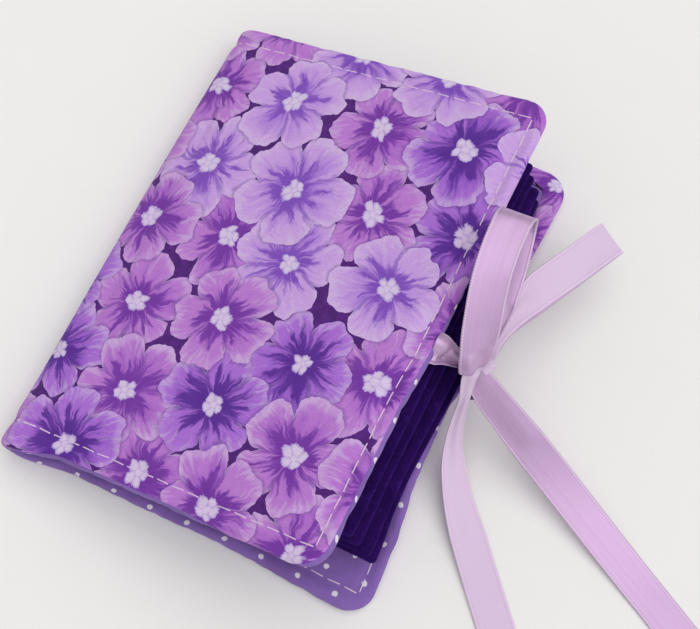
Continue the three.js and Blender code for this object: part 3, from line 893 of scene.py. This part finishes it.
def satin_ribbon():
    """Lilac satin with fine ribs along it and a woven selvage, its face shiny, its reverse dull, with
    painted highlight and shade at its edges and creases.
    """
    material, start = new_material("satin_ribbon")
    along, across = flat_place(start)
    reverse = across > REVERSE_PLACE / 2
    across = across - reverse * REVERSE_PLACE
    ribs = start.maths("SINE", across * (2 * math.pi / 0.16))
    picks = start.maths("SINE", along * (2 * math.pi / 0.56))
    from_edge = RIBBON_WIDTH / 2 - start.maths("ABSOLUTE", across)
    selvage = 1 - from_edge.ramp(0.35, 0.6)
    groove = from_edge.ramp(0.45, 0.65) * (1 - from_edge.ramp(0.7, 0.95))
    # Lengthwise streaks of lighter and darker lilac: partly the satin's own uneven tone, partly
    # painted shade of fine creases along the ribbon. The same noise also varies the roughness.
    streaks_and_crease_shade = start.vector(along * 0.02, across * 1.3).noise(1.0, 3.0, 0.6)
    lilac = start.mixed(streaks_and_crease_shade.ramp(0.3, 0.7), srgb(191, 157, 197), srgb(197, 164, 203))
    dull = start.mixed(weave(start, across, along, 0.45), srgb(215, 189, 220), srgb(224, 201, 229))
    lilac = start.mixed(reverse, lilac, dull)
    # The selvage's paler colour is partly its own woven edge, dotted by its picks, and partly a
    # painted highlight along its raised edge cord.
    lilac = start.mixed(selvage * (0.4 + picks * 0.25), lilac, srgb(232, 212, 236))
    # Painted shade: the groove beside each selvage, already sunk by the bump, is also darkened in
    # colour.
    lilac = start.mixed(groove * 0.15, lilac, srgb(166, 128, 180))
    roughness = 0.35 + selvage * 0.15 + reverse * 0.25 + (streaks_and_crease_shade - 0.5) * 0.06
    settings = {
        "Base Color": lilac, "Roughness": roughness,
        "Specular IOR Level": 0.8, "Metallic": 0.5 * (1 - reverse),
    }
    height = ribs * 0.35 * (1 - selvage) + picks * selvage - groove * 1.2
    surface(start, settings, height, 0.22, 0.0001)
    return material


def curve_through(points, per_span):
    """A smooth curve through the points, with so many steps between each two."""
    points = np.asarray(points, float)
    ends = np.concatenate([[2 * points[0] - points[1]], points, [2 * points[-1] - points[-2]]])
    gaps = np.maximum(np.linalg.norm(np.diff(ends, axis=0), axis=1), 1e-6) ** 0.5
    curve = []
    for i in range(len(points) - 1):
        p0, p1, p2, p3 = ends[i:i + 4]
        d0, d1, d2 = gaps[i:i + 3]
        m1 = ((p1 - p0) / d0 - (p2 - p0) / (d0 + d1) + (p2 - p1) / d1) * d1
        m2 = ((p2 - p1) / d1 - (p3 - p1) / (d1 + d2) + (p3 - p2) / d2) * d1
        for t in np.arange(per_span) / per_span:
            curve.append(
                (2 * t**3 - 3 * t**2 + 1) * p1 + (t**3 - 2 * t**2 + t) * m1
                + (3 * t**2 - 2 * t**3) * p2 + (t**3 - t**2) * m2
            )
    curve.append(points[-1])
    return np.array(curve)


def unit(vectors):
    return vectors / np.linalg.norm(vectors, axis=1, keepdims=True)


def ribbon_strip(origin, route, pleats=3, pleat_depth=1.0, camber=0.0, start_at=0.0, faces=(1,)):
    """A length of ribbon along a route: points from an origin, each with the vector across the ribbon.
    Where that vector is shorter than the ribbon is wide, the ribbon is gathered in pleats."""
    per_span = 10
    centres = curve_through([np.add(origin, at) for at, _ in route], per_span)
    spans = curve_through([span for _, span in route], per_span)
    widths = np.minimum(np.linalg.norm(spans, axis=1), RIBBON_WIDTH)
    spans = unit(spans)
    up = unit(np.cross(unit(np.gradient(centres, axis=0)), spans))
    steps = np.linalg.norm(np.diff(centres, axis=0), axis=1)
    gone = start_at + np.concatenate([[0], np.cumsum(steps)])
    v = np.linspace(-1, 1, 29)
    slack = np.sqrt(np.maximum((RIBBON_WIDTH / widths) ** 2 - 1, 0))
    wave = np.clip(slack * widths * 0.52 / pleats, 0, pleat_depth)
    share = np.linspace(0, 1, len(centres))
    bow = np.interp(share, np.linspace(0, 1, np.size(camber)), np.ravel(camber))
    rise = wave[:, None] * np.sin(v * math.pi * pleats / 2 + 0.6) + bow[:, None] * (1 - v**2)
    edge = np.clip((1 - np.abs(v)) / 0.09, 0, 1)
    full = 0.72 + 0.28 * np.sqrt(1 - (1 - edge) ** 2) + 0.3 * hump(np.abs(v), 0.94, 0.04)
    thick = RIBBON_THICKNESS / 2 * full
    rows, places = [], []
    for side in (1, -1):
        at = centres[:, None] + spans[:, None] * (v[None, :, None] * widths[:, None, None] / 2)
        at = at + up[:, None] * (rise + side * thick)[..., None]
        rows.append(at.reshape(-1, 3))
        place = v * RIBBON_WIDTH / 2 + (0 if side in faces else REVERSE_PLACE)
        flat = np.stack(np.broadcast_arrays(gone[:, None], place[None, :]), axis=-1)
        places.append(flat.reshape(-1, 2))
    quads = slab_quads(len(centres), len(v))
    return np.concatenate(rows), np.concatenate(places), quads, centres


def knot_wrap(centre, size, tilt, start_at):
    """The ribbon's turn round the bow's middle: a soft barrel, drawn in at its ends, with pleats."""
    round_it, along_it = 48, 29
    turn = np.linspace(0, 2 * math.pi, round_it, endpoint=False)
    v = np.linspace(-1, 1, along_it)
    t, w = np.meshgrid(turn, v, indexing="ij")
    pleat = 0.05 * np.cos(w * math.pi * 3 + 0.8 * np.sin(t)) + 0.03 * np.sin(w * math.pi * 5 + t)
    body = (1 - 0.62 * np.abs(w) ** 3.2) + pleat * (1 - np.abs(w) ** 4)
    body = body * (1 + 0.05 * np.sin(2 * t + w))
    x = size[0] / 2 * body * np.cos(t)
    z = size[2] / 2 * body * np.sin(t)
    y = size[1] / 2 * w + 0.25 * np.sin(t + 1)
    spin = math.radians(tilt)
    turned_x = x * math.cos(spin) - y * math.sin(spin)
    turned_y = x * math.sin(spin) + y * math.cos(spin)
    points = centre + np.stack([turned_x, turned_y, z], axis=-1).reshape(-1, 3)
    beside = w * RIBBON_WIDTH / 2 + REVERSE_PLACE
    places = np.stack([start_at + t * size[0] / 2, beside], axis=-1).reshape(-1, 2)
    count = round_it * along_it
    quads = (grid_quads(round_it + 1, along_it) % count).tolist()
    first, last = (list(range(j, count, along_it)) for j in (0, along_it - 1))
    return points, places, [*quads, first, last[::-1]]


def across(x, y, z):
    """A vector across the ribbon this way, as long as the ribbon is wide."""
    return np.array([x, y, z]) * RIBBON_WIDTH / math.sqrt(x * x + y * y + z * z)


def tie(name, strand, wrap, loop, tail):
    """The stretches of one ribbon as one piece, a cord that runs through its knot twice."""
    points, places, faces, first = [], [], [], 0
    for strip in (strand, wrap, loop, tail):
        points.append(strip[0])
        places.append(strip[1])
        faces += [tuple(first + i for i in face) for face in strip[2]]
        first += len(strip[0])
    piece = new_piece(name, np.concatenate(points), faces, satin, np.concatenate(places))
    face_outward(piece)
    return piece


satin = satin_ribbon()
front_edge = np.array([34.036, 0.0, 31.951])
strand = ribbon_strip(0, [
    (front_edge + (-0.6, -4.0, 0.1), (0, 7.2, 0)),
    (front_edge + (1.2, -4.0, 0.2), (0, 6.6, 0.2)),
    (KNOT + (-4.6, 0.2, 3.4), (0, 5.2, 0.6)),
    (KNOT + (-1.7, 0.8, 0.0), (0, 3.0, 0.8)),
], pleats=2, camber=[0.0, -1.0, -1.6, -0.5])
wrap = knot_wrap(KNOT + (0.2, 1.4, -1.4), (2.8, 3.0, 2.3), 40, 12)
loop = ribbon_strip(KNOT, [
    ((0.4, 1.9, -0.8), (2.2, 3.2, 0)),
    ((0.7, 0.7, 0.0), (2.9, 4.4, 0)),
    ((0.8, 0.6, 1.5), (4.0, 5.9, 0)),
    ((0.3, 2.9, 4.2), across(5.6, 5.7, 0)),
    ((-0.8, 6.4, 7.2), across(6.9, 4.3, 0)),
    ((-2.9, 14.2, 11.0), across(7.3, 3.4, 0)),
    ((-3.7, 19.0, 12.5), across(7.6, 2.7, 0)),
    ((-4.1, 24.1, 13.3), across(7.8, 2.0, 0)),
    ((-4.1, 28.8, 13.2), across(7.9, 1.2, 0)),
    ((-3.7, 30.5, 11.8), across(8.0, 0.6, 0)),
    ((-3.3, 29.6, 9.8), across(8.0, 0.3, 0)),
    ((-1.8, 22.8, 8.0), across(7.9, 1.0, 0)),
    ((-0.5, 13.6, 6.0), across(7.9, 1.2, 0)),
    ((0.1, 7.6, 3.4), (6.2, 1.8, 0)),
    ((0.6, 4.0, 1.2), (4.4, 2.0, 0)),
    ((0.8, 2.2, 0.0), (3.2, 2.0, 0)),
], pleats=3, pleat_depth=0.35, start_at=30, faces=(1, -1),
    camber=[-0.4, -0.8, -0.9, -0.3, 0.2, 0.2, 0.1, 0.1, 0, 0, 0, -0.1, -0.2, -0.3, -0.3, -0.2])
tail = ribbon_strip(KNOT, [
    ((0.7, 1.4, -1.4), (2.4, 3.4, -0.4)),
    ((0.8, -0.7, -2.0), (3.0, 2.2, -0.6)),
    ((0.9, -1.6, -3.8), (2.6, 2.0, -0.4)),
    ((1.4, -3.7, -8.0), (2.1, 1.5, 0.0)),
    ((1.6, -5.6, -13.0), (2.4, 1.2, 0.0)),
    ((2.6, -9.8, -18.5), (3.3, 1.7, -0.8)),
    ((4.6, -13.9, -22.0), (4.4, 3.1, -2.0)),
    ((8.4, -19.4, -24.8), (5.3, 4.1, -2.6)),
    ((13.6, -25.5, -26.4), across(5.7, 4.7, -1.2)),
    ((19.4, -32.0, -27.3), across(5.8, 5.3, -0.3)),
    ((26.6, -40.0, -27.65), across(5.9, 5.4, 0)),
    ((37.4, -52.0, -27.65), across(5.9, 5.4, 0)),
], pleats=3, pleat_depth=0.12, start_at=110, faces=(-1,),
    camber=[0.1, 0.1, 0.1, 0.1, 0, 0, 0, 0, 0, 0, 0, 0])
front_ribbon = tie("front_ribbon", strand, wrap, loop, tail)
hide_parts("front_tie_strand", "front_tie_knot", "front_tie_loop", "front_tie_tail")
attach(front_ribbon, "front_cover")
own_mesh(front_ribbon)

# The back's ribbon: the same satin, caught in the back's seam. It makes the lower turn of the knot,
# the flat loop behind and the right tail.
strand = ribbon_strip(0, [
    (np.array([41.6, -0.4, 7.3]), (0, 7.6, 0)),
    (np.array([43.6, -0.4, 9.2]), (0, 7.2, 0)),
    (KNOT + (3.4, 3.6, -14), (0, 5.6, 0)),
    (LOWER_KNOT + (0, 0, -1.4), (0, 3.0, 0)),
], pleats=2)
wrap = knot_wrap(LOWER_KNOT, (4.2, 4.0, 2.8), -20, 12)
loop = ribbon_strip(KNOT, [
    (LOWER_TURN + (0.0, 1.2, 0.9), (2.6, -0.8, -2.0)),
    ((1.7, 10.0, -5.6), (2.8, -1.2, -4.2)),
    ((2.2, 15.0, -7.2), (3.4, -2.0, -5.2)),
    ((3.4, 20.0, -9.0), (4.4, -3.0, -5.0)),
    ((5.4, 25.6, -10.8), across(5.6, -3.9, -3.6)),
    ((9.9, 35.1, -12.7), across(6.3, -4.2, -2.4)),
    ((14.4, 44.4, -14.0), across(6.9, -3.8, -1.2)),
    ((15.2, 46.0, -14.9), across(6.9, -3.8, -1.2)),
    ((14.3, 44.6, -16.0), across(6.9, -3.8, -1.2)),
    ((9.7, 35.1, -15.6), across(6.3, -4.2, -2.4)),
    ((5.4, 25.6, -14.0), across(5.6, -3.9, -3.6)),
    ((3.8, 20.0, -12.4), (4.4, -3.0, -5.0)),
    ((2.6, 15.0, -10.6), (3.4, -2.0, -5.2)),
    ((2.2, 10.0, -8.6), (2.8, -1.2, -4.2)),
    (LOWER_TURN + (0.2, 1.2, -0.8), (2.6, -0.8, -2.0)),
], pleats=2, camber=0.2, start_at=30)
tail = ribbon_strip(KNOT, [
    (LOWER_TURN + (-0.4, -0.8, 0.2), (1.2, 3.0, 0.6)),
    ((2.2, 1.0, -5.6), (2.1, 4.4, 1.4)),
    ((4.8, -0.2, -8.2), (2.5, 5.5, 2.4)),
    ((8.3, -1.2, -11.5), (2.7, 5.8, 3.0)),
    ((17.6, -4.2, -18.0), across(2.9, 6.3, 2.4)),
    ((28.9, -8.8, -23.0), across(3.3, 7.0, 1.2)),
    ((40.1, -14.0, -26.0), across(3.6, 7.2, 0.4)),
    ((51.1, -19.4, -27.5), across(3.7, 7.1, 0)),
    ((58.3, -23.1, -27.65), across(3.7, 7.1, 0)),
    ((73.4, -31.0, -27.65), across(3.7, 7.1, 0)),
], pleats=2, pleat_depth=0.25, start_at=130)
back_ribbon = tie("back_ribbon", strand, wrap, loop, tail)
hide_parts("back_tie_strand", "back_tie_knot", "back_tie_loop", "back_tie_tail")
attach(back_ribbon, "back_cover")

# Studio: a pale matt floor that runs out of every view, a broad soft lamp overhead, a wide dim fill
# from beyond the fore-edge and a pale surround.
FLOOR_SIZE = 30.0
CAMERA_AT = Vector((0.0557, -0.0879, 0.2963))
CAMERA_TO = Vector((0.01047, 0.00464, 0.0))
FOCAL_PX = 1386.5
IMAGE_WIDTH = 700
LAMP_COLOUR = (1.0, 0.99, 0.98)

bpy.ops.mesh.primitive_plane_add(size=FLOOR_SIZE, location=(0, 0, -0.0001))
floor = bpy.context.object
floor.name = "floor"
bpy.ops.object.transform_apply(location=True, rotation=False, scale=False)
floor_material, start = new_material("floor")
place = start.add("ShaderNodeTexCoord", (), (), "Object")
mottle = place.noise(60.0, 3.0, 0.6)
colour = start.mixed(mottle, srgb(240, 239, 237), srgb(243, 242, 240))
settings = {"Base Color": colour, "Roughness": 0.9}
surface(start, settings, place.noise(900.0, 3.0), 0.15, 0.0003)
floor.data.materials.append(floor_material)


def soft_lamp(name, place, spread, strength):
    """A lamp so far off that the whole floor gets the same light, as wide as this many degrees."""
    bpy.ops.object.light_add(type="SUN", location=place)
    lamp = bpy.context.object
    lamp.name = name
    lamp.data.angle = math.radians(spread)
    lamp.data.energy = strength
    lamp.data.color = LAMP_COLOUR
    lamp.rotation_euler = (-Vector(place)).to_track_quat("-Z", "Y").to_euler()


soft_lamp("key_lamp", (0.15, 0.2, 1.0), 68, 1.17)
soft_lamp("fill_lamp", (0.75, -0.25, 0.75), 72, 0.66)

world = bpy.data.worlds.new("surround")
bpy.context.scene.world = world
world.use_nodes = True
surround = world.node_tree.nodes["Background"].inputs
surround["Color"].default_value = (0.93, 0.93, 0.94, 1)
surround["Strength"].default_value = 0.5

camera = bpy.data.objects.new("camera", bpy.data.cameras.new("camera"))
bpy.context.scene.collection.objects.link(camera)
camera.location = CAMERA_AT
camera.rotation_euler = (CAMERA_TO - CAMERA_AT).to_track_quat("-Z", "Y").to_euler()
camera.data.sensor_width = 36
camera.data.lens = FOCAL_PX * camera.data.sensor_width / IMAGE_WIDTH
camera.data.clip_start = 0.01
bpy.context.scene.camera = camera
bpy.context.scene.view_settings.view_transform = "Standard"
